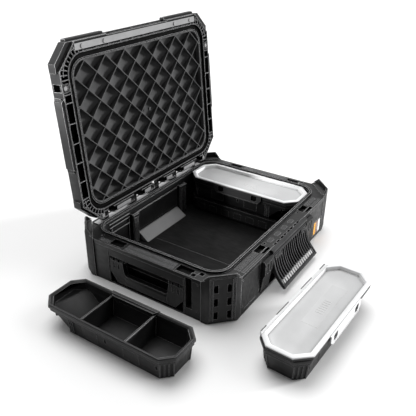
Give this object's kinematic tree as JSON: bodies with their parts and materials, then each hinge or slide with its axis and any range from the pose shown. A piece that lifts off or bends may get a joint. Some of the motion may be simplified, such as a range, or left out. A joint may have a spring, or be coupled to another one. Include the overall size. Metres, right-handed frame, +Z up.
{
  "type": "tool storage case",
  "caption": "Hard plastic carrying case with a hinged lattice-lined lid, swing latch and side handles, lift-out divided bins with folding lids.",
  "frame": {"origin": "on the floor under the middle of the case", "axes": "+X along the lid hinge towards the lidded bin in the case, -Y towards the front latch, +Z up"},
  "size_m": [0.75, 0.6707, 0.5349],
  "materials": {
    "black_plastic": "fine moulded texture, matte",
    "rubber": "matte",
    "steel": "satin",
    "satin_grey": "satin",
    "frosted_white": "frosted, slightly translucent",
    "indicator_yellow": "gloss",
    "indicator_rose": "gloss",
    "indicator_white": "gloss"
  },
  "bodies": {
    "case": {"base_shell": "black_plastic", "corner_guard_front_left": "black_plastic", "corner_guard_front_right": "black_plastic", "corner_guard_rear_left": "black_plastic", "corner_guard_rear_right": "black_plastic", "floor_mat_large": "rubber", "floor_mat_small": "rubber", "front_latch_pin": "steel", "hinge_pin_centre": "steel", "hinge_pin_far_left": "steel", "hinge_pin_far_right": "steel", "hinge_pin_left": "steel", "hinge_pin_right": "steel", "hinge_plate": "steel", "hinge_tower_centre": "black_plastic", "hinge_tower_far_left": "black_plastic", "hinge_tower_far_right": "black_plastic", "hinge_tower_left": "black_plastic", "hinge_tower_right": "black_plastic", "indicator_bezel": "black_plastic", "indicator_rose": "indicator_rose", "indicator_white": "indicator_white", "indicator_yellow": "indicator_yellow", "latch_cheek_left": "black_plastic", "latch_cheek_right": "black_plastic", "left_handle_pin_front": "steel", "left_handle_pin_rear": "steel", "rear_wedge": "satin_grey", "right_handle_pin_front": "steel", "right_handle_pin_rear": "steel"},
    "lid": {"lid_lattice": "black_plastic", "lid_screw_left": "steel", "lid_screw_right": "steel", "lid_seal": "rubber", "lid_shell": "black_plastic", "strike_strip": "steel", "strip_screw_1": "steel", "strip_screw_2": "steel", "strip_screw_3": "steel", "strip_screw_4": "steel"},
    "left_handle": {"left_handle": "black_plastic"},
    "right_handle": {"right_handle": "black_plastic"},
    "front_latch": {"front_latch": "black_plastic"},
    "lower_tray": {"lower_tray": "black_plastic"},
    "case_bin": {"case_bin": "black_plastic", "case_bin_hinge_strip": "frosted_white"},
    "case_bin_lid": {"case_bin_lid": "frosted_white"},
    "case_bin_clip": {"case_bin_clip": "frosted_white"},
    "open_bin": {"open_bin": "black_plastic"},
    "open_bin_divider_1": {"open_bin_divider_1": "black_plastic"},
    "open_bin_divider_2": {"open_bin_divider_2": "black_plastic"},
    "floor_bin": {"floor_bin": "black_plastic", "floor_bin_hinge_strip": "frosted_white"},
    "floor_bin_lid": {"floor_bin_lid": "frosted_white"},
    "floor_bin_clip": {"floor_bin_clip": "frosted_white"}
  },
  "joints": [
    {"name": "lid_hinge", "type": "hinge", "parent": "case", "child": "lid", "pos_m": [0, 0.1964, 0.1314], "axis": [-1, 0, 0], "range_deg": [-95.1, 0]},
    {"name": "front_latch_swing", "type": "hinge", "parent": "case", "child": "front_latch", "pos_m": [0, -0.216, 0.088], "axis": [-1, 0, 0], "range_deg": [-26, 64]},
    {"name": "left_handle_swing", "type": "hinge", "parent": "case", "child": "left_handle", "pos_m": [-0.2715, 0, 0.066], "axis": [0, 1, 0], "range_deg": [0, 92]},
    {"name": "right_handle_swing", "type": "hinge", "parent": "case", "child": "right_handle", "pos_m": [0.2715, 0, 0.066], "axis": [0, -1, 0], "range_deg": [0, 92]},
    {"name": "lower_tray_lift", "type": "slide", "parent": "case", "child": "lower_tray", "axis": [0, 0, 1], "range_m": [0, 0.1]},
    {"name": "case_bin_lift", "type": "slide", "parent": "lower_tray", "child": "case_bin", "axis": [0, 0, 1], "range_m": [0, 0.12]},
    {"name": "case_bin_lid_fold", "type": "hinge", "parent": "case_bin", "child": "case_bin_lid", "pos_m": [0.231, -0.0005, 0.11], "axis": [0, 1, 0], "range_deg": [0, 100]},
    {"name": "case_bin_clip_swing", "type": "hinge", "parent": "case_bin_lid", "child": "case_bin_clip", "pos_m": [0.1214, -0.0005, 0.108], "axis": [0, 1, 0], "range_deg": [0, 80]},
    {"name": "open_bin_lift", "type": "slide", "parent": "case", "child": "open_bin", "axis": [0, 0, 1], "range_m": [0, 0.12]},
    {"name": "divider_1_lift", "type": "slide", "parent": "open_bin", "child": "open_bin_divider_1", "axis": [0, 0, 1], "range_m": [0, 0.06]},
    {"name": "divider_2_lift", "type": "slide", "parent": "open_bin", "child": "open_bin_divider_2", "axis": [0, 0, 1], "range_m": [0, 0.06]},
    {"name": "floor_bin_lift", "type": "slide", "parent": "case", "child": "floor_bin", "axis": [0, 0, 1], "range_m": [0, 0.12]},
    {"name": "floor_bin_lid_fold", "type": "hinge", "parent": "floor_bin", "child": "floor_bin_lid", "pos_m": [-0.16367, -0.31755, 0.066], "axis": [-0.9989, 0.0471, 0], "range_deg": [0, 100]},
    {"name": "floor_bin_clip_swing", "type": "hinge", "parent": "floor_bin_lid", "child": "floor_bin_clip", "pos_m": [-0.16883, -0.42703, 0.064], "axis": [-0.9989, 0.0471, 0], "range_deg": [0, 80]}
  ]
}
